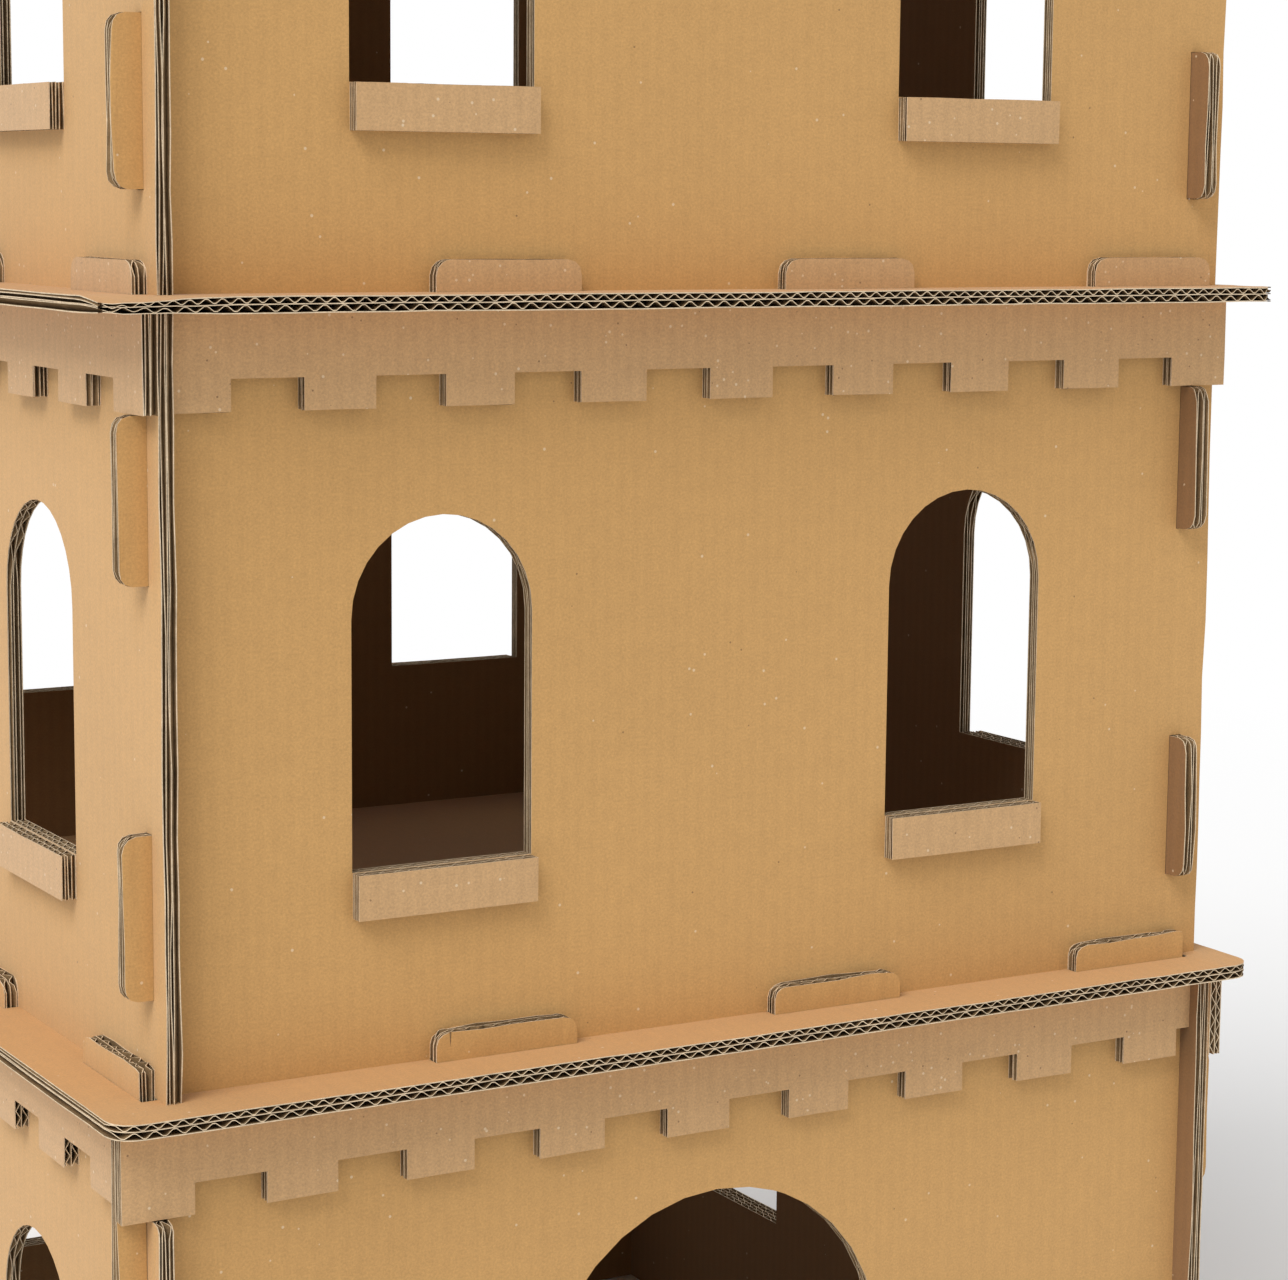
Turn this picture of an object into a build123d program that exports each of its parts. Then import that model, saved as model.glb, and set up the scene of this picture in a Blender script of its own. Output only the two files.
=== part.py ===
from build123d import *

import os

# A three-storey toy castle of flat corrugated board, slotted together with no glue at its corners.
# Each storey is four upright walls. Every wall butts against one neighbour and runs past the other,
# and its end tabs pass through slots in the wall it butts against. The ground storey turns the other
# way round from the two above it, and is one board thicker on each side, so that the tabs on its
# top edges come up just outside the walls of the next storey.
# The origin is on the floor under the middle of the decks, +Z is up and the doorway faces -Y.
# All sizes are in millimetres.

# Board
board = 7.0                 # thickness of the double-wall corrugated board
slot_play = 0.3             # gap on each side of a tab in its slot
fit_gap = 0.3               # gap between the end of a strip and the wall beside it

# Storeys
castle_width = 545.0        # outside of the two upper storeys, square in plan
wall_height = 328.0
margin = 14.0               # how far a wall runs on past its neighbour

# Tabs
tab_length = 70.0
tab_reach = 14.0            # how far a tab stands out past the board it goes through
tab_corner = 7.0            # radius of a tab's free corners
end_tab_gap = 0.5           # from the upper end tab to the frieze strip above it
deck_tab_first = 240.5      # nearest deck tab to the corner, from the middle of the wall
deck_tab_pitch = 175.0
deck_tab_count = 3

# Windows, their sills and the doorway
window_width = 87.0
window_height = 153.0       # to the top of its round arch
window_bottom = 87.0
window_offset = 138.0       # window centres, each side of the middle of the wall
sill_height = 20.0
door_width = 182.0
door_height = 256.0         # to the top of its round arch

# Hanging frieze strips
frieze_height = 41.5
tooth_drop = 14.0           # how far a tooth hangs below the strip's notches
tooth_width = 32.8          # teeth and notches are equally wide

# Decks
overhang_left = 30.5        # all four are past the upper storeys' walls
overhang_right = 24.5
overhang_front = 33.5
overhang_back = 21.5
deck_corner = 13.0          # plan radius

# Battlement on the roof deck
battlement_height = 84.0
crenel_depth = 34.0
merlon_count = 5
battlement_tab_length = 28.0
battlement_tab_gap = 2.0    # above the deck tabs that come up beside it

# Worked out from the sizes above
ground_width = castle_width + 2 * board
storey_pitch = wall_height + board
deck_width = castle_width + overhang_left + overhang_right
deck_depth = castle_width + overhang_front + overhang_back
castle_centre = Pos((overhang_left - overhang_right) / 2, (overhang_front - overhang_back) / 2)
deck_tabs = [deck_tab_first - n * deck_tab_pitch for n in range(deck_tab_count)]
deck_tab_height = board + tab_reach
# End tabs' centres, above and below the wall's mid height: the upper one is just clear of the frieze
end_tab_spread = wall_height / 2 - frieze_height - end_tab_gap - tab_length / 2

# Each side is the front one turned about the castle's upright centre line
sides = {"front": 0, "right": 90, "back": 180, "left": 270}


def block(x0, x1, z0, z1):
    """A flat rectangle between two corners, given in either order."""
    return Pos((x0 + x1) / 2, (z0 + z1) / 2) * Rectangle(abs(x1 - x0), abs(z1 - z0))


def arch(width, height, bottom=0.0):
    """An upright opening with a half-round head."""
    spring = height - width / 2
    return block(-width / 2, width / 2, bottom, bottom + spring) + Pos(0, bottom + spring) * Circle(width / 2)


def upright(outline, outer_y):
    """An outline in X and Z, as a board standing with its outer face at outer_y."""
    plane = Plane(origin=(0, outer_y + board, 0), x_dir=(1, 0, 0), z_dir=(0, -1, 0))
    return extrude(plane * outline, amount=board)


def end_tab(panel_end, hand, z_mid, length):
    """A round-cornered tab on the butting end of a wall, through the neighbour and out past it."""
    root = tab_corner + 1
    tip = panel_end - hand * (board + tab_reach)
    middle = (panel_end + hand * root + tip) / 2
    return Pos(middle, z_mid) * RectangleRounded(board + tab_reach + root, length, tab_corner)


def deck_tab(x_mid, low, high):
    """A round-cornered tab on a top edge, cut square where the board itself ends."""
    root = tab_corner + 1
    tab = Pos(x_mid, wall_height + (deck_tab_height - root) / 2) * RectangleRounded(
        tab_length, deck_tab_height + root, tab_corner
    )
    return tab & block(low, high, 0, 2 * wall_height)


def storey_wall(width, hand, height, tab_mids, tab_size):
    """A plain wall, its end tabs and the slots for its neighbour's tabs.

    hand is 1 where the wall runs on past its neighbour at +X, and -1 where it does so at -X.
    """
    butt_end = -hand * (width / 2 - board)
    free_end = hand * (width / 2 + margin)
    wall = block(butt_end, free_end, 0, height)
    for z_mid in tab_mids:
        wall += end_tab(butt_end, hand, z_mid, tab_size)
        wall -= block(
            hand * (width / 2 - board - slot_play),
            hand * (width / 2 + slot_play),
            z_mid - tab_size / 2 - slot_play,
            z_mid + tab_size / 2 + slot_play,
        )
    return wall, min(butt_end, free_end), max(butt_end, free_end)


def end_tab_mids():
    return [wall_height / 2 - end_tab_spread, wall_height / 2 + end_tab_spread]


def windows():
    pair = Sketch()
    for x in (-window_offset, window_offset):
        pair += Pos(x, 0) * arch(window_width, window_height, window_bottom)
    return pair


def ground_wall(side):
    """A ground wall has deck tabs along its top edge, and the front one has the doorway."""
    wall, low, high = storey_wall(ground_width, -1, wall_height, end_tab_mids(), tab_length)
    for x_mid in deck_tabs:
        wall += deck_tab(x_mid, low, high)
    wall -= arch(door_width, door_height) if side == "front" else windows()
    return upright(wall, -ground_width / 2)


def upper_wall():
    wall = storey_wall(castle_width, 1, wall_height, end_tab_mids(), tab_length)[0]
    return upright(wall - windows(), -castle_width / 2)


def sill(x_mid, width):
    strip = block(
        x_mid - window_width / 2, x_mid + window_width / 2, window_bottom - sill_height, window_bottom
    )
    return upright(strip, -width / 2 - board)


def frieze(width, hand, tabbed):
    """A toothed strip on a wall's outer face, close under the deck.

    It runs from the neighbouring wall's inner face to the free end, where its first tooth is.
    """
    start = hand * (width / 2 + margin)
    stop = -hand * (width / 2 - board - fit_gap)
    strip = block(start, stop, wall_height - frieze_height, wall_height)
    length = abs(stop - start)
    step = 1
    while step * tooth_width < length:
        notch_stop = min((step + 1) * tooth_width, length)
        strip -= block(
            start - hand * step * tooth_width,
            start - hand * notch_stop,
            wall_height - frieze_height,
            wall_height - frieze_height + tooth_drop,
        )
        step += 2
    if tabbed:
        for x_mid in deck_tabs:
            strip += deck_tab(x_mid, min(start, stop), max(start, stop))
    return upright(strip, -width / 2 - board)


def deck():
    """A storey's floor plate. One row of slots along each side takes the tabs that come from below."""
    slots = Sketch()
    for x_mid in deck_tabs:
        slots += Pos(x_mid, -(castle_width + board) / 2) * Rectangle(
            tab_length + 2 * slot_play, board + 2 * slot_play
        )
    outline = RectangleRounded(deck_width, deck_depth, deck_corner)
    for turn in sides.values():
        outline -= castle_centre * Rot(0, 0, turn) * slots
    return extrude(outline, amount=board)


def battlement():
    """A low notched wall that stands on the roof deck, slotted together like the storeys."""
    tab_mid = tab_reach + battlement_tab_gap + battlement_tab_length / 2
    wall, low, high = storey_wall(castle_width, 1, battlement_height, [tab_mid], battlement_tab_length)
    unit = (high - low) / (2 * merlon_count - 1)
    for n in range(merlon_count - 1):
        crenel = low + (2 * n + 1) * unit
        wall -= block(crenel, crenel + unit, battlement_height - crenel_depth, battlement_height)
    return upright(wall, -castle_width / 2)


def place(solid, side, floor):
    return Pos(0, 0, floor) * castle_centre * Rot(0, 0, sides[side]) * solid


parts = {}

storeys = {
    "ground": (0.0, ground_width, -1),
    "middle": (storey_pitch, castle_width, 1),
    "top": (2 * storey_pitch, castle_width, 1),
}
for storey, (floor, width, hand) in storeys.items():
    for side in sides:
        wall = ground_wall(side) if storey == "ground" else upper_wall()
        parts[f"{storey}_wall_{side}"] = place(wall, side, floor)
        strip = frieze(width, hand, tabbed=storey != "ground")
        parts[f"{storey}_frieze_{side}"] = place(strip, side, floor)
        if (storey, side) != ("ground", "front"):
            for n, x_mid in enumerate((-window_offset, window_offset), 1):
                parts[f"{storey}_sill_{side}_{n}"] = place(sill(x_mid, width), side, floor)

for n, name in enumerate(("lower_deck", "upper_deck", "roof_deck")):
    parts[name] = Pos(0, 0, n * storey_pitch + wall_height) * deck()

for side in sides:
    parts[f"battlement_{side}"] = place(battlement(), side, len(storeys) * storey_pitch)

os.makedirs("parts", exist_ok=True)
for name, shape in parts.items():
    solid = shape.solids()[0]
    solid.label = name
    export_step(solid, f"parts/{name}.step")
    print(name, round(solid.volume))
print(len(parts), "pieces", round(sum(p.volume for p in parts.values())), "mm3")
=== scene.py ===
import math

import bpy
import numpy as np
from mathutils import Matrix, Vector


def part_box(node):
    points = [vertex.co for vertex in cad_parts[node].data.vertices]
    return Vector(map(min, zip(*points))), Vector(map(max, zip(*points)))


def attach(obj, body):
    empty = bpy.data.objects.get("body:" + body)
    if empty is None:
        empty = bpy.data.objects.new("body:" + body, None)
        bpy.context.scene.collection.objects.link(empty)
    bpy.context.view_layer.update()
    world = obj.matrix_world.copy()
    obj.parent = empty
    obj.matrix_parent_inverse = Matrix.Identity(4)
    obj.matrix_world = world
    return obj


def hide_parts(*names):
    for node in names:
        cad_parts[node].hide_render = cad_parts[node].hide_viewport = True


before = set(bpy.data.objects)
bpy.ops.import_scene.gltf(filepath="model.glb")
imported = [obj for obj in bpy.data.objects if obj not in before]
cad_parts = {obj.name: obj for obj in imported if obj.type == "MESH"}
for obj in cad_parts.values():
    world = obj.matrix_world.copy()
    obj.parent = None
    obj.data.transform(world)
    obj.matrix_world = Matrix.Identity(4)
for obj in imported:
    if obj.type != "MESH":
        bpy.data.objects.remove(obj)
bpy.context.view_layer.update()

# Double-wall board: three liners with a fine and a coarse row of flutes glued between them. A piece is
# worked out flat, in millimetres: s runs across the flutes, f along them, and h is 0 at the good face
# and falls to -7 at the other. Every layer is a closed sheet of paper cut to the piece's outline.
BOARD = 7.0
OUTER_LINER = (-0.5, 0.0)
MIDDLE_LINER = (-3.5, -3.05)
INNER_LINER = (-7.0, -6.5)
FLUTES = (
    {"middle": -1.78, "swing": 1.06, "pitch": 6.98},
    {"middle": -5.0, "swing": 1.28, "pitch": 8.63},
)
MEDIUM_THICKNESS = 0.42
SAMPLES_PER_WAVE = 4
LINER_STEP_S = 18.0
LINER_STEP_F = 40.0
FACE, CUT, FLUTE = 0, 1, 2          # a board's three material slots
TOP, EDGE, UNDER = 0, 1, 2          # the three kinds of side that one sheet of paper has
SIDE_PAPERS = {0: (FACE, CUT, FLUTE), 4: (FLUTE, CUT, FACE)}
INNER_SIDE_PAPERS = (FLUTE, CUT, FLUTE)
FRAY_REACH = 4.0                    # how far in from an edge the wear dies away


def lines(stops, step=1e9):
    """Grid lines at every stop, with the gaps between stops divided evenly to at most the step."""
    stops = np.unique(np.round(stops, 4))
    spans = [
        np.linspace(a, b, max(1, math.ceil((b - a) / step)), endpoint=False)
        for a, b in zip(stops[:-1], stops[1:])
    ]
    return np.append(np.concatenate(spans), stops[-1])


def ripple(along, seed):
    """Smooth unevenness between -1 and 1: four sines of 150, 61, 27 and 11 mm with seeded phases."""
    phase = np.random.default_rng(seed).uniform(0, 2 * np.pi, 4)
    waves = [np.sin(2 * np.pi * along / length + p) for length, p in zip((150, 61, 27, 11), phase)]
    return 0.36 * waves[0] + 0.28 * waves[1] + 0.2 * waves[2] + 0.16 * waves[3]


def sheet(s, f, keep, low, high):
    """One closed sheet of paper on a grid. Corner (i, j) lies at (s_j, f_ij) from low_ij to high_ij.

    Each kept cell has a face above and below, and each border of a kept cell has a cut edge.
    """
    rows, cols = f.shape
    index = np.arange(rows * cols).reshape(rows, cols)
    up = rows * cols
    a, b = index[:-1, :-1][keep], index[:-1, 1:][keep]
    c, d = index[1:, 1:][keep], index[1:, :-1][keep]
    quads = [np.stack((a, b, c, d), 1) + up, np.stack((d, c, b, a), 1)]
    padded = np.pad(keep, 1)
    near, far = padded[:-1, 1:-1], padded[1:, 1:-1]
    left, right = padded[1:-1, :-1], padded[1:-1, 1:]
    for edge, start, end in (
        (far & ~near, index[:, :-1], index[:, 1:]),
        (near & ~far, index[:, 1:], index[:, :-1]),
        (left & ~right, index[:-1, :], index[1:, :]),
        (right & ~left, index[1:, :], index[:-1, :]),
    ):
        p, q = start[edge], end[edge]
        quads.append(np.stack((p, q, q + up, p + up), 1))
    faces = np.concatenate(quads)
    kinds = np.full(len(faces), EDGE)
    kinds[: len(a)] = TOP
    kinds[len(a) : 2 * len(a)] = UNDER
    across = np.broadcast_to(s, f.shape)
    points = np.concatenate(
        [np.stack((across, f, np.broadcast_to(h, f.shape)), -1).reshape(-1, 3) for h in (low, high)]
    )
    used, faces = np.unique(faces, return_inverse=True)
    return points[used], faces.reshape(-1, 4), kinds


def layers(s_stops, f_stops, inside, bend, samples=SAMPLES_PER_WAVE, step_s=LINER_STEP_S):
    """The five papers of one board: liners are flat, flutes follow middle + swing * sin(2 pi s / pitch).

    Layers 0, 2 and 4 are the liners from the good face inwards, and 1 and 3 are the flutes between them.
    """
    papers = []
    for number, (low, high) in enumerate((OUTER_LINER, MIDDLE_LINER, INNER_LINER)):
        s, rows = lines(s_stops, step_s), lines(f_stops, LINER_STEP_F)
        papers.append((s, rows, low, high, 2 * number))
    for number, flute in enumerate(FLUTES):
        pitch = flute["pitch"]
        first = math.ceil(min(s_stops) / pitch * samples)
        last = math.floor(max(s_stops) / pitch * samples)
        stops = np.append(np.arange(first, last + 1) * pitch / samples, s_stops)
        s, rows = lines(stops), lines(f_stops)
        wave = flute["middle"] + flute["swing"] * np.sin(2 * np.pi * s / pitch)
        papers.append((s, rows, wave - MEDIUM_THICKNESS / 2, wave + MEDIUM_THICKNESS / 2, 2 * number + 1))
    points, faces, kinds, layer, count = [], [], [], [], 0
    for s, rows, low, high, depth in papers:
        middle_s, middle_f = (s[:-1] + s[1:]) / 2, (rows[:-1] + rows[1:]) / 2
        keep = inside(*np.meshgrid(middle_s, middle_f))
        grid_s, grid_f = np.meshgrid(s, rows)
        p, q, k = sheet(s, bend(grid_s, grid_f), keep, low, high)
        k = np.choose(k, SIDE_PAPERS.get(depth, INNER_SIDE_PAPERS))
        points.append(p)
        faces.append(q + count)
        kinds.append(k)
        layer.append(np.full(len(p), depth))
        count += len(p)
    return [np.concatenate(part) for part in (points, faces, kinds, layer)]


def frayed(points, layer, edges, seed, depth=0.7, flare=0.35):
    """Handled edges: near the line axis = value the paper is worn back by up to depth and flares by layer.

    The weight is exp(-(distance / reach) squared), and the wear follows the ripple along the edge.
    """
    for number, (axis, value, outward) in enumerate(edges):
        weight = np.exp(-(((points[:, axis] - value) / FRAY_REACH) ** 2))
        along = points[:, 1 - axis].copy()
        for n in range(5):
            mine = layer == n
            worn = 0.5 + 0.5 * ripple(along[mine], seed * 31 + number * 7 + n)
            points[mine, axis] -= outward * depth * weight[mine] * worn
            points[mine, 2] += flare * weight[mine] * ripple(along[mine], seed * 17 + number * 5 + n)
    return points


def board_piece(name, node, flat, seed, place, materials):
    """Puts a flat board in its place, in metres, and hands it to the frame in its node's stead."""
    points, faces, kinds, _ = flat
    mesh = bpy.data.meshes.new(name)
    mesh.from_pydata((place(points) / 1000).tolist(), [], faces.tolist())
    mesh.polygons.foreach_set("material_index", kinds.astype(np.int32))
    uv = mesh.uv_layers.new(name="paper")
    corner = np.empty(len(mesh.loops), dtype=np.int32)
    mesh.loops.foreach_get("vertex_index", corner)
    shift = np.random.default_rng(seed).uniform(0, 3, 2)
    uv.data.foreach_set("uv", (points[corner, :2] / 1000 + shift).astype(np.float32).ravel())
    for material in materials:
        mesh.materials.append(material)
    mesh.update()
    piece = bpy.data.objects.new(name, mesh)
    bpy.context.scene.collection.objects.link(piece)
    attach(piece, "root")
    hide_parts(node)


# Papers: brown kraft liner on walls and decks, a greyer recycled liner on the strips, pale torn fibre
# where the liners are cut through, and a dull brown fluting paper inside. The storey walls' inner
# face is a much darker kraft: painted shade for the dim inside of the castle.


class Value:
    """A node socket in Python arithmetic: each operator adds the Math node that works it out."""

    def __init__(self, tree, socket):
        self.tree, self.socket = tree, socket

    def math(self, operation, *terms):
        node = self.tree.nodes.new("ShaderNodeMath")
        node.operation = operation
        for slot, term in zip(node.inputs, terms):
            if isinstance(term, Value):
                self.tree.links.new(term.socket, slot)
            else:
                slot.default_value = term
        return Value(self.tree, node.outputs[0])

    def __add__(self, other):
        return self.math("ADD", self, other)

    def __radd__(self, other):
        return self.math("ADD", other, self)

    def __sub__(self, other):
        return self.math("SUBTRACT", self, other)

    def __rsub__(self, other):
        return self.math("SUBTRACT", other, self)

    def __mul__(self, other):
        return self.math("MULTIPLY", self, other)

    def __rmul__(self, other):
        return self.math("MULTIPLY", other, self)

    def __lt__(self, other):
        return self.math("LESS_THAN", self, other)

    def __gt__(self, other):
        return self.math("GREATER_THAN", self, other)

    def sine(self):
        return self.math("SINE", self)

    def limited(self):
        return self.math("MINIMUM", self.math("MAXIMUM", self, 0.0), 1.0)


class Paint:
    """A material's node tree, with one method for every node that isn't arithmetic.

    A socket is given by its name, or as i and its number where a node has several of one name.
    """

    def __init__(self, name):
        self.material = bpy.data.materials.new(name)
        self.material.use_nodes = True
        self.tree = self.material.node_tree
        self.shader = self.tree.nodes["Principled BSDF"]

    def node(self, kind, output, settings=None, **sockets):
        node = self.tree.nodes.new(kind)
        for key, value in (settings or {}).items():
            setattr(node, key, value)
        for key, value in sockets.items():
            slot = node.inputs[int(key[1:])] if key[0] == "i" and key[1:].isdigit() else node.inputs[key]
            if isinstance(value, Value):
                self.tree.links.new(value.socket, slot)
            else:
                slot.default_value = value
        return Value(self.tree, node.outputs[output])

    def mix(self, factor, first, second):
        return self.node("ShaderNodeMix", 2, {"data_type": "RGBA"}, i0=factor, i6=first, i7=second)

    def feed(self, socket, value):
        self.tree.links.new(value.socket, self.shader.inputs[socket])


def tone(colour, factor):
    return tuple(channel * factor for channel in colour) + (1.0,)


def paper(name, colour, mottle, flecks, washboard):
    """Matt paper: colour * (fine fibre + soft mottle + faint flute shading), with pale and dark flecks."""
    paint = Paint(name)
    place = paint.node("ShaderNodeUVMap", 0, {"uv_map": "paper"})
    fibre = paint.node("ShaderNodeTexNoise", 0, Vector=place, Scale=850.0, Detail=5.0, Roughness=0.75)
    cloud = paint.node("ShaderNodeTexNoise", 0, Vector=place, Scale=120.0, Detail=4.0, Roughness=0.6)
    drift = paint.node("ShaderNodeTexNoise", 0, Vector=place, Scale=7.0, Detail=3.0, Roughness=0.5)
    across = paint.node("ShaderNodeSeparateXYZ", 0, Vector=place)
    ridge = (across * (2 * math.pi / FLUTES[0]["pitch"] * 1000)).sine() * 0.5 + 0.5
    shade = (fibre - 0.5) * mottle * 1.5 + (cloud - 0.5) * mottle * 0.35 + (drift - 0.5) * 0.3
    shade = (shade + (ridge - 0.5) * washboard + 0.5).limited()
    body = paint.mix(shade, tone(colour, 0.74), tone(colour, 1.26))
    spot = paint.node("ShaderNodeTexVoronoi", 0, Vector=place, Scale=330.0)
    pick = paint.node("ShaderNodeTexWhiteNoise", 0, {"noise_dimensions": "3D"},
                      Vector=paint.node("ShaderNodeTexVoronoi", 2, Vector=place, Scale=330.0))
    pale = (spot < 0.22) * (pick > 1.0 - flecks)
    dark = (spot < 0.16) * (pick < flecks * 0.25)
    body = paint.mix(pale * 0.55, body, tone((0.8, 0.66, 0.46), 1.0))
    body = paint.mix(dark * 0.6, body, tone((0.12, 0.06, 0.03), 1.0))
    paint.feed("Base Color", body)
    height = fibre * 0.6 + cloud * 0.2 + ridge * washboard * 1.6
    paint.feed("Normal", paint.node("ShaderNodeBump", 0, Strength=0.16, Distance=0.0012, Height=height))
    paint.shader.inputs["Roughness"].default_value = 0.86
    paint.shader.inputs["Specular IOR Level"].default_value = 0.3
    paint.shader.inputs["Sheen Weight"].default_value = 0.3
    paint.shader.inputs["Sheen Roughness"].default_value = 0.45
    return paint.material


def fibre_edge(name, colour, contrast):
    """Torn fibre: fine and coarse noise added up, between a darker and a paler tone of the colour."""
    paint = Paint(name)
    place = paint.node("ShaderNodeTexCoord", 3)
    fuzz = paint.node("ShaderNodeTexNoise", 0, Vector=place, Scale=900.0, Detail=4.0, Roughness=0.7)
    patch = paint.node("ShaderNodeTexNoise", 0, Vector=place, Scale=110.0, Detail=3.0, Roughness=0.6)
    mask = ((fuzz - 0.5) * contrast + (patch - 0.5) * contrast + 0.5).limited()
    paint.feed("Base Color", paint.mix(mask, tone(colour, 0.62), tone(colour, 1.3)))
    paint.feed("Normal", paint.node("ShaderNodeBump", 0, Strength=0.5, Distance=0.001, Height=fuzz))
    paint.shader.inputs["Roughness"].default_value = 0.92
    paint.shader.inputs["Specular IOR Level"].default_value = 0.15
    return paint.material


# Painted shade: the storey walls' inner face is a much darker kraft, standing in for the dim light inside the
# castle.
shaded_inner_paper = paper("inner_kraft_painted_shade", (0.26, 0.135, 0.05), 0.95, 0.012, 0.12)
wall_paper = paper("wall_kraft", (0.575, 0.328, 0.118), 0.95, 0.012, 0.05)
deck_paper = paper("deck_kraft", (0.57, 0.30, 0.095), 0.95, 0.012, 0.04)
strip_paper = paper("strip_liner", (0.56, 0.345, 0.165), 1.2, 0.12, 0.09)
cut_paper = fibre_edge("cut_edge_fibre", (0.76, 0.60, 0.41), 1.3)
flute_paper = fibre_edge("flute_paper", (0.26, 0.165, 0.08), 1.3)
WALL_PAPERS = (wall_paper, cut_paper, flute_paper)
STOREY_PAPERS = (wall_paper, cut_paper, flute_paper, shaded_inner_paper)
DECK_PAPERS = (deck_paper, cut_paper, flute_paper)
STRIP_PAPERS = (strip_paper, cut_paper, flute_paper)


# The frame of the castle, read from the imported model. Each side is the front one turned about the
# castle's upright centre line, as the walls are four alike in each storey.


def node_box(node):
    low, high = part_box(node)
    return np.array(low) * 1000, np.array(high) * 1000


TURNS = {"front": 0, "right": 90, "back": 180, "left": 270}
deck_low, deck_high = node_box("lower_deck")
wall_low, wall_high = node_box("middle_wall_front")
WALL_HEIGHT = deck_low[2]
STOREY_PITCH = deck_high[2]
TAB_REACH, TAB_CORNER, SLOT_PLAY, MARGIN = 14.0, 7.0, 0.3, 14.0
CASTLE_WIDTH = (wall_high[0] - wall_low[0]) - MARGIN - TAB_REACH
GROUND_WIDTH = CASTLE_WIDTH + 2 * BOARD
CENTRE = np.array([wall_high[0] - MARGIN - CASTLE_WIDTH / 2, wall_low[1] + CASTLE_WIDTH / 2])


def stand(outer_y, side, floor, along=False):
    """Stands a flat piece up at outer_y on the front, then turns it to its side of the castle.

    s is X and f is Z, or s is Z and f is -X where the flutes lie along the strip. h points out.
    """

    def place(points):
        s, f, h = points.T
        x, z = (-f, s) if along else (s, f)
        y = outer_y - h
        turn = math.radians(TURNS[side])
        return np.stack(
            (
                CENTRE[0] + x * math.cos(turn) - y * math.sin(turn),
                CENTRE[1] + x * math.sin(turn) + y * math.cos(turn),
                floor + z,
            ),
            1,
        )

    return place


# Storey walls: four alike in each storey, die-cut with slots at the free end and tabs at the other,
# which push through the neighbour's slots. The ground storey also has tabs along its top edge.
TAB_HALF = 35.0
END_TAB_SPREAD = 87.0
END_TAB_MIDS = (WALL_HEIGHT / 2 - END_TAB_SPREAD, WALL_HEIGHT / 2 + END_TAB_SPREAD)
DECK_TAB_MIDS = (240.5, 65.5, -109.5)
WINDOW = {"radius": 43.5, "bottom": 87.0, "spring": 196.5}
DOOR = {"radius": 91.0, "bottom": 0.0, "spring": 165.0}
WINDOW_MIDS = (-138.0, 138.0)


def corner_inset(distance, radius):
    """How far a rounded corner has drawn in at a distance from the side that it rounds."""
    reach = np.clip(radius - distance, 0, radius)
    return radius - np.sqrt(radius**2 - reach**2)


def arch_stops(middle, radius):
    return middle + radius * np.cos(np.linspace(0, np.pi, 17))


def tab_stops(low, high):
    ends = np.array([0, 1, 3.2, TAB_CORNER])
    return np.concatenate((low + ends, high - ends))


def wall_flat(width, hand, height, tab_mids, tab_half, arches, top_tabs, cut_top=None):
    """A wall's outline: body, end tabs, slots, arched openings and top tabs, all on one bent grid.

    A row of the grid rises over an arch by sqrt(radius^2 - dx^2), and draws in at a tab's corners.
    """
    butt, free = -hand * (width / 2 - BOARD), hand * (width / 2 + MARGIN)
    tip = butt - hand * (BOARD + TAB_REACH)
    low, high = min(butt, free), max(butt, free)
    slot_near, slot_far = width / 2 - BOARD - SLOT_PLAY, width / 2 + SLOT_PLAY
    top = height + BOARD + TAB_REACH
    s_stops = [butt, free, hand * slot_near, hand * slot_far]
    s_stops += list(tip + hand * np.array([0, 1, 3.2, TAB_CORNER]))
    f_stops = [0, height]
    for mid in tab_mids:
        f_stops += [mid - tab_half, mid + tab_half]
    for mid, form in arches:
        s_stops += list(arch_stops(mid, form["radius"]))
        f_stops += [form["bottom"], form["spring"]]
    if top_tabs:
        f_stops.append(top)
    for mid in top_tabs:
        s_stops += [s for s in tab_stops(mid - TAB_HALF, mid + TAB_HALF) if low < s < high]
    if cut_top:
        s_stops += list(np.linspace(low, high, cut_top["bays"] + 1))
        f_stops.append(height - cut_top["depth"])

    def inside(s, f):
        kept = (s > low) & (s < high) & (f > 0) & (f < height)
        for mid in tab_mids:
            beside = np.abs(f - mid) < tab_half
            kept |= beside & (hand * s < hand * butt) & (hand * s > hand * tip)
            kept &= ~(beside & (hand * s > slot_near) & (hand * s < slot_far))
        for mid, form in arches:
            kept &= ~((np.abs(s - mid) < form["radius"]) & (f > form["bottom"]) & (f < form["spring"]))
        for mid in top_tabs:
            kept |= (np.abs(s - mid) < TAB_HALF) & (s > low) & (s < high) & (f > height)
        if cut_top:
            bay = np.floor((s - low) / (high - low) * cut_top["bays"])
            kept &= ~((bay % 2 == 1) & (f > height - cut_top["depth"]))
        return kept

    def bend(s, f):
        bent = f.copy()
        for mid in tab_mids:
            beside = np.abs(f - mid) <= tab_half + 0.01
            tab_inset = corner_inset(np.abs(s - tip), TAB_CORNER)
            half = np.where(hand * s < 0, tab_half - tab_inset, tab_half + SLOT_PLAY)
            outside_body = hand * s <= hand * butt + 0.01
            slotted = hand * s > slot_near - 0.01
            change = beside & (outside_body | slotted)
            bent = np.where(change, mid + (f - mid) * half / tab_half, bent)
        for mid, form in arches:
            rise = np.sqrt(np.clip(form["radius"] ** 2 - (s - mid) ** 2, 0, None))
            above = (f >= form["spring"] - 0.01) & (f <= height)
            bent += np.where(above, rise * (height - f) / (height - form["spring"]), 0)
        for mid in top_tabs:
            near = (np.abs(s - mid) <= TAB_HALF + 0.01) & (f > top - 0.01)
            bent -= np.where(near, corner_inset(TAB_HALF - np.abs(s - mid), TAB_CORNER), 0)
        return bent

    flat = layers(s_stops, f_stops, inside, bend)
    edges = [(0, free, hand), (0, tip, -hand)]
    if top_tabs:
        edges.append((1, top, 1))
    return flat, edges


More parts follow.
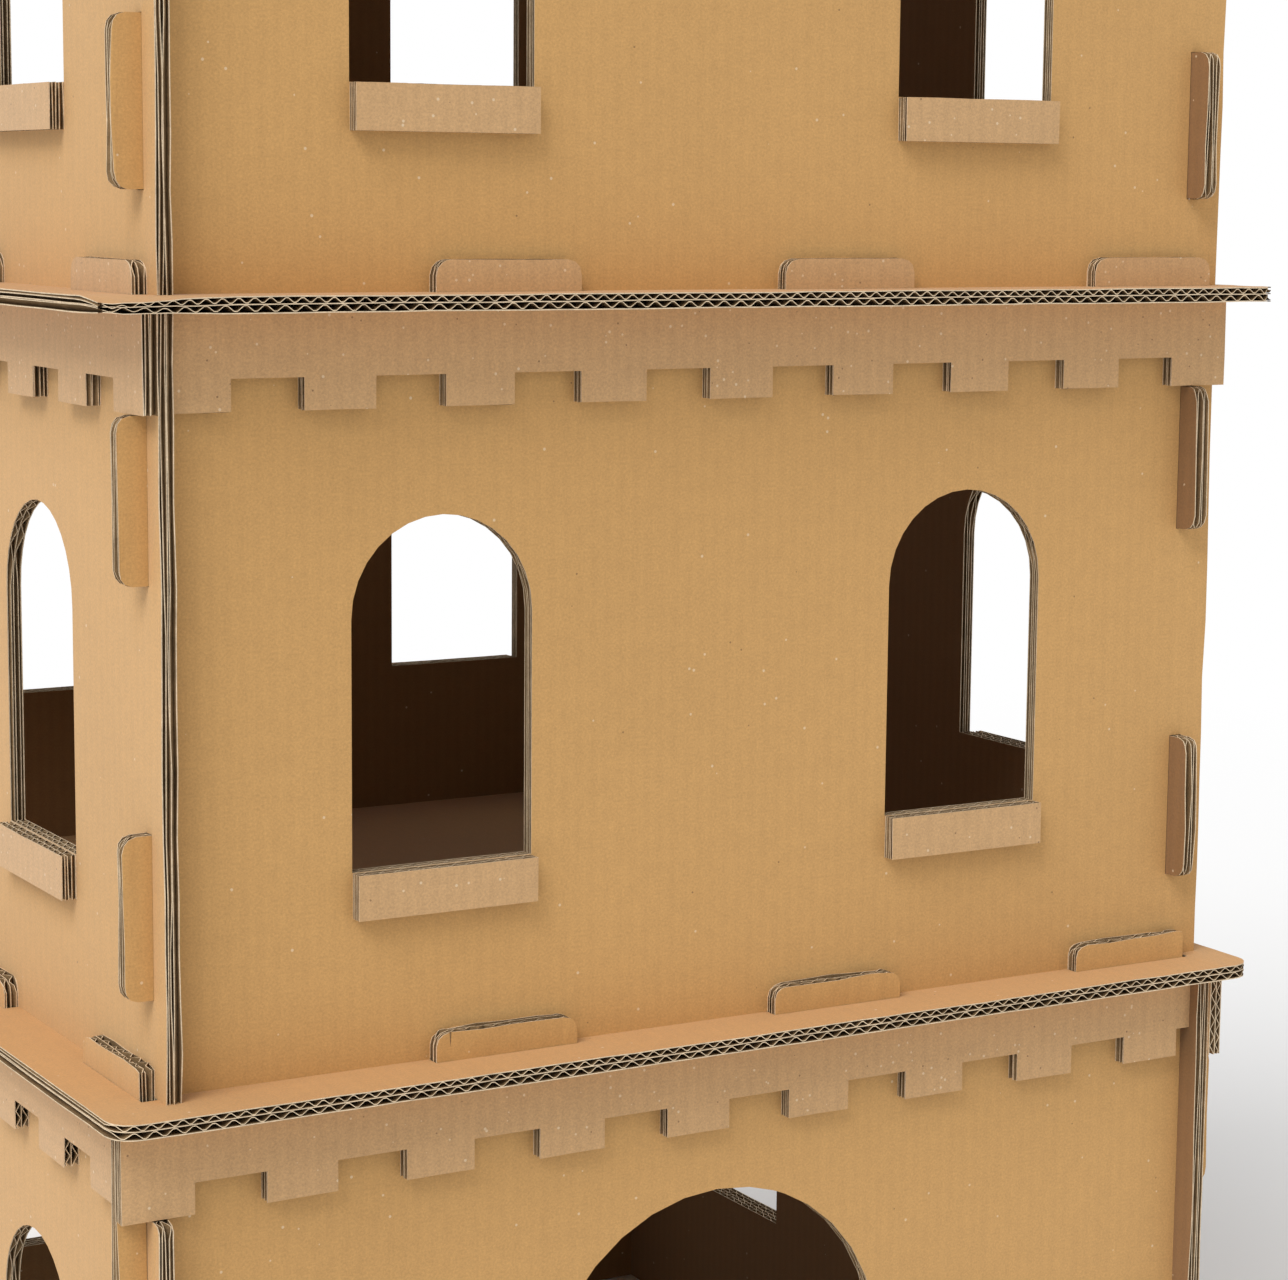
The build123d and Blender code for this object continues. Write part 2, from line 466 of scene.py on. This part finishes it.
# The fourth slot carries the inner face's darker kraft, which is painted shade.
SHADED_INSIDE = 3                          # a storey wall's fourth material slot


def inner_side(flat):
    """The faces of a board's inner liner, which are those whose first corner is in layer 4."""
    return flat[3][flat[1][:, 0]] == 4


for floor_number, storey in enumerate(("ground", "middle", "top")):
    ground = storey == "ground"
    width, hand = (GROUND_WIDTH, -1) if ground else (CASTLE_WIDTH, 1)
    for side_number, side in enumerate(TURNS):
        seed = 10 * floor_number + side_number
        if ground and side == "front":
            arches = [(0.0, DOOR)]
        else:
            arches = [(mid, WINDOW) for mid in WINDOW_MIDS]
        top_tabs = DECK_TAB_MIDS if ground else ()
        flat, edges = wall_flat(width, hand, WALL_HEIGHT, END_TAB_MIDS, TAB_HALF, arches, top_tabs)
        flat[0] = frayed(flat[0], flat[3], edges, seed, depth=2.2, flare=0.8)
        place = stand(-width / 2, side, floor_number * STOREY_PITCH)
        node = f"{storey}_wall_{side}"
        # The inner liner's face gets the darker kraft as painted shade for the castle's dim inside.
        flat[2] = np.where((flat[2] == FACE) & inner_side(flat), SHADED_INSIDE, flat[2])
        board_piece(node + "_board", node, flat, seed, place, STOREY_PAPERS)

# Battlement: four low notched walls on the roof deck, slotted together like the storeys.
BATTLEMENT_HEIGHT = 84.0
BATTLEMENT_TAB = {"middle": 30.0, "half": 14.0}
NOTCHES = {"bays": 9, "depth": 34.0}
for side_number, side in enumerate(TURNS):
    tab_mids, tab_half = (BATTLEMENT_TAB["middle"],), BATTLEMENT_TAB["half"]
    flat, edges = wall_flat(CASTLE_WIDTH, 1, BATTLEMENT_HEIGHT, tab_mids, tab_half, [], (), NOTCHES)
    flat[0] = frayed(flat[0], flat[3], edges, 60 + side_number)
    place = stand(-CASTLE_WIDTH / 2, side, 3 * STOREY_PITCH)
    node = f"battlement_{side}"
    board_piece(node + "_board", node, flat, 60 + side_number, place, WALL_PAPERS)


# Friezes: toothed strips glued flat to the walls, close under each deck. Those of the two upper
# storeys carry the tabs that come up through the deck. Ground side strips were cut the other way of
# the board, so their flutes run along them and show on the sides of the teeth.
FRIEZE = {"height": 41.5, "drop": 14.0, "tooth": 32.8, "gap": 0.3}


def frieze_flat(width, hand, tabbed, along):
    """A strip whose lower edge steps up by the drop on every second tooth width from its free end."""
    start = hand * (width / 2 + MARGIN)
    stop = -hand * (width / 2 - BOARD - FRIEZE["gap"])
    low, high = min(start, stop), max(start, stop)
    foot, top = WALL_HEIGHT - FRIEZE["height"], WALL_HEIGHT + BOARD + TAB_REACH
    teeth = [start - hand * n * FRIEZE["tooth"] for n in range(int((high - low) / FRIEZE["tooth"]) + 1)]
    s_stops, f_stops = [low, high] + teeth, [foot, foot + FRIEZE["drop"], WALL_HEIGHT]
    if tabbed:
        f_stops.append(top)
        for mid in DECK_TAB_MIDS:
            s_stops += [s for s in tab_stops(mid - TAB_HALF, mid + TAB_HALF) if low < s < high]

    def inside(x, z):
        notch = (np.floor(np.abs(x - start) / FRIEZE["tooth"]) % 2 == 1) & (z < foot + FRIEZE["drop"])
        kept = (x > low) & (x < high) & (z > foot) & (z < WALL_HEIGHT) & ~notch
        if tabbed:
            for mid in DECK_TAB_MIDS:
                kept |= (np.abs(x - mid) < TAB_HALF) & (x > low) & (x < high) & (z > WALL_HEIGHT)
        return kept

    def bend(x, z):
        bent = z.copy()
        if tabbed:
            for mid in DECK_TAB_MIDS:
                near = (np.abs(x - mid) <= TAB_HALF + 0.01) & (z > top - 0.01)
                bent -= np.where(near, corner_inset(TAB_HALF - np.abs(x - mid), TAB_CORNER), 0)
        return bent

    if along:
        return layers(
            f_stops,
            [-s for s in s_stops],
            lambda s, f: inside(-f, s),
            lambda s, f: f.copy(),
            step_s=12.0,
        ), [(0, foot, -1)]
    flat = layers(s_stops, f_stops, inside, bend)
    return flat, [(0, start, hand), (1, foot, -1)] + ([(1, top, 1)] if tabbed else [])


for floor_number, storey in enumerate(("ground", "middle", "top")):
    ground = storey == "ground"
    width, hand = (GROUND_WIDTH, -1) if ground else (CASTLE_WIDTH, 1)
    for side_number, side in enumerate(TURNS):
        seed = 100 + 10 * floor_number + side_number
        along = ground and side in ("left", "right")
        flat, edges = frieze_flat(width, hand, not ground, along)
        flat[0] = frayed(flat[0], flat[3], edges, seed, depth=0.5, flare=0.3)
        place = stand(-width / 2 - BOARD, side, floor_number * STOREY_PITCH, along)
        node = f"{storey}_frieze_{side}"
        board_piece(node + "_board", node, flat, seed, place, STRIP_PAPERS)

# Sills: short strips glued under the windows, with their flutes upright, so the ends of the flutes
# show along the top.
SILL_HEIGHT = 20.0
for floor_number, storey in enumerate(("ground", "middle", "top")):
    width = GROUND_WIDTH if storey == "ground" else CASTLE_WIDTH
    for side_number, side in enumerate(TURNS):
        if (storey, side) == ("ground", "front"):
            continue
        for number, mid in enumerate(WINDOW_MIDS, 1):
            seed = 200 + 20 * floor_number + 4 * side_number + number
            half, top = WINDOW["radius"], WINDOW["bottom"]
            flat = layers(
                [mid - half, mid + half],
                [top - SILL_HEIGHT, top],
                lambda s, f: np.full(s.shape, True),
                lambda s, f: f.copy(),
                samples=8,
            )
            edges = [(0, mid - half, -1), (0, mid + half, 1), (1, top, 1)]
            flat[0] = frayed(flat[0], flat[3], edges, seed, depth=0.4, flare=0.3)
            place = stand(-width / 2 - BOARD, side, floor_number * STOREY_PITCH)
            node = f"{storey}_sill_{side}_{number}"
            board_piece(node + "_board", node, flat, seed, place, STRIP_PAPERS)


# Decks: one square plate over each storey, flutes from front to back, with a row of slots along each
# side. The upper deck's near left corner has been knocked: its layers are crushed and sag.
DECK_CORNER = 13.0
DECK_SLOT = {"half_length": TAB_HALF + SLOT_PLAY, "half_width": BOARD / 2 + SLOT_PLAY}
DECK_HALF = (deck_high[:2] - deck_low[:2]) / 2


def deck_slots():
    """Every slot as a box (low x, high x, low y, high y), the front row turned to each side."""
    boxes = []
    for turn in TURNS.values():
        c, s = round(math.cos(math.radians(turn))), round(math.sin(math.radians(turn)))
        for mid in DECK_TAB_MIDS:
            x, y = mid, -(CASTLE_WIDTH + BOARD) / 2
            centre = CENTRE + (x * c - y * s, x * s + y * c)
            half = (DECK_SLOT["half_length"], DECK_SLOT["half_width"])
            if s:
                half = half[::-1]
            boxes.append((centre[0] - half[0], centre[0] + half[0], centre[1] - half[1], centre[1] + half[1]))
    return boxes


def deck_flat(seed, crushed):
    boxes = deck_slots()
    rounding = np.array([0, 0.6, 2, 5, 9, DECK_CORNER])
    s_stops = list(np.concatenate((-DECK_HALF[0] + rounding, DECK_HALF[0] - rounding)))
    f_stops = [-DECK_HALF[1], DECK_HALF[1]]
    for x0, x1, y0, y1 in boxes:
        s_stops += [x0, x1]
        f_stops += [y0, y1]
    if crushed:
        s_stops += list(-DECK_HALF[0] + np.arange(15, 70, 6))
        f_stops += list(-DECK_HALF[1] + np.array([6, 12, 20, 40]))

    def inside(x, y):
        kept = np.full(x.shape, True)
        for x0, x1, y0, y1 in boxes:
            kept &= ~((x > x0) & (x < x1) & (y > y0) & (y < y1))
        return kept

    def bend(x, y):
        inset = corner_inset(DECK_HALF[0] - np.abs(x), DECK_CORNER)
        rim = np.abs(y) > DECK_HALF[1] - 0.01
        return np.where(rim, np.sign(y) * (DECK_HALF[1] - inset), y)

    flat = layers(s_stops, f_stops, inside, bend, samples=6)
    edges = [(1, -DECK_HALF[1], -1), (1, DECK_HALF[1], 1), (0, -DECK_HALF[0], -1), (0, DECK_HALF[0], 1)]
    points = frayed(flat[0], flat[3], edges, seed, depth=0.5, flare=0.25)
    if crushed:
        reach = np.hypot((points[:, 0] + DECK_HALF[0]) / 55, (points[:, 1] + DECK_HALF[1]) / 28)
        weight = np.clip(1 - reach, 0, 1) ** 1.4
        sag = 1.2 + 0.9 * ripple(points[:, 0] * 2.2 + flat[3] * 37, seed)
        points[:, 2] += weight * (-(points[:, 2] + 3.2) * 0.55 - sag)
    flat[0] = points
    return flat


for number, node in enumerate(("lower_deck", "upper_deck", "roof_deck")):
    top_z = (number + 1) * STOREY_PITCH
    flat = deck_flat(300 + number, node == "upper_deck")
    board_piece(
        node + "_board",
        node,
        flat,
        300 + number,
        lambda points: points + (0, 0, top_z),
        DECK_PAPERS,
    )


# Studio: a pale floor that fades to white, an even white room, and a wide soft sun from the left.
def studio_floor():
    paint = Paint("studio_floor")
    place = paint.node("ShaderNodeTexCoord", 3)
    spread = paint.node("ShaderNodeVectorMath", 1, {"operation": "LENGTH"}, Vector=place)
    far = ((spread - 1.6) * 0.7).limited()
    paint.shader.inputs["Base Color"].default_value = (0.88, 0.88, 0.88, 1.0)
    paint.shader.inputs["Roughness"].default_value = 0.9
    glow = paint.tree.nodes.new("ShaderNodeEmission")
    glow.inputs["Color"].default_value = (1.0, 1.0, 1.0, 1.0)
    sees = paint.node("ShaderNodeLightPath", 0)
    blend = paint.tree.nodes.new("ShaderNodeMixShader")
    paint.tree.links.new((far * sees).socket, blend.inputs[0])
    paint.tree.links.new(paint.shader.outputs[0], blend.inputs[1])
    paint.tree.links.new(glow.outputs[0], blend.inputs[2])
    paint.tree.links.new(blend.outputs[0], paint.tree.nodes["Material Output"].inputs["Surface"])
    return paint.material


FLOOR_HALF = 14.0
floor_mesh = bpy.data.meshes.new("floor")
corners = [(x * FLOOR_HALF, y * FLOOR_HALF, -0.0005) for x, y in ((-1, -1), (1, -1), (1, 1), (-1, 1))]
floor_mesh.from_pydata(corners, [], [(0, 1, 2, 3)])
floor_mesh.materials.append(studio_floor())
floor = bpy.data.objects.new("studio_floor", floor_mesh)
bpy.context.scene.collection.objects.link(floor)

world = bpy.data.worlds.new("white_room")
bpy.context.scene.world = world
world.use_nodes = True
room = world.node_tree
rays = room.nodes.new("ShaderNodeLightPath")
seen = Value(room, rays.outputs["Is Camera Ray"]) + Value(room, rays.outputs["Is Glossy Ray"])
seen = (seen + Value(room, rays.outputs["Is Transmission Ray"])).limited()
ROOM_LIGHT = 0.62
level = seen * (1.0 - ROOM_LIGHT) + ROOM_LIGHT
room.nodes["Background"].inputs["Color"].default_value = (1.0, 1.0, 1.0, 1.0)
room.links.new(level.socket, room.nodes["Background"].inputs["Strength"])

KEY_TURN, KEY_HEIGHT, KEY_POWER, KEY_SPREAD = -62.0, 50.0, 1.95, 34.0
sun = bpy.data.lights.new("key", "SUN")
sun.energy = KEY_POWER
sun.angle = math.radians(KEY_SPREAD)
key = bpy.data.objects.new("key", sun)
key.rotation_euler = (math.radians(90 - KEY_HEIGHT), 0, math.radians(KEY_TURN))
bpy.context.scene.collection.objects.link(key)

# Camera: eye level with the middle storey, to the left of the front, with a long lens.
YAW, PITCH, ROLL = math.radians(30.107), math.radians(7.971), math.radians(0.509)
EYE = (-0.742406, -1.486982, 0.711689)
ahead = np.array([math.sin(YAW) * math.cos(PITCH), math.cos(YAW) * math.cos(PITCH), -math.sin(PITCH)])
level_right = np.array([math.cos(YAW), -math.sin(YAW), 0.0])
level_up = np.cross(level_right, ahead)
right = level_right * math.cos(ROLL) + level_up * math.sin(ROLL)
upward = -level_right * math.sin(ROLL) + level_up * math.cos(ROLL)
lens = bpy.data.cameras.new("camera")
lens.lens = 88.914
lens.sensor_width = 36.0
camera = bpy.data.objects.new("camera", lens)
turned = np.eye(4)
turned[:3, 0], turned[:3, 1], turned[:3, 2], turned[:3, 3] = right, upward, -ahead, EYE
camera.matrix_world = Matrix(turned.tolist())
bpy.context.scene.collection.objects.link(camera)
bpy.context.scene.camera = camera
bpy.context.scene.view_settings.view_transform = "Standard"
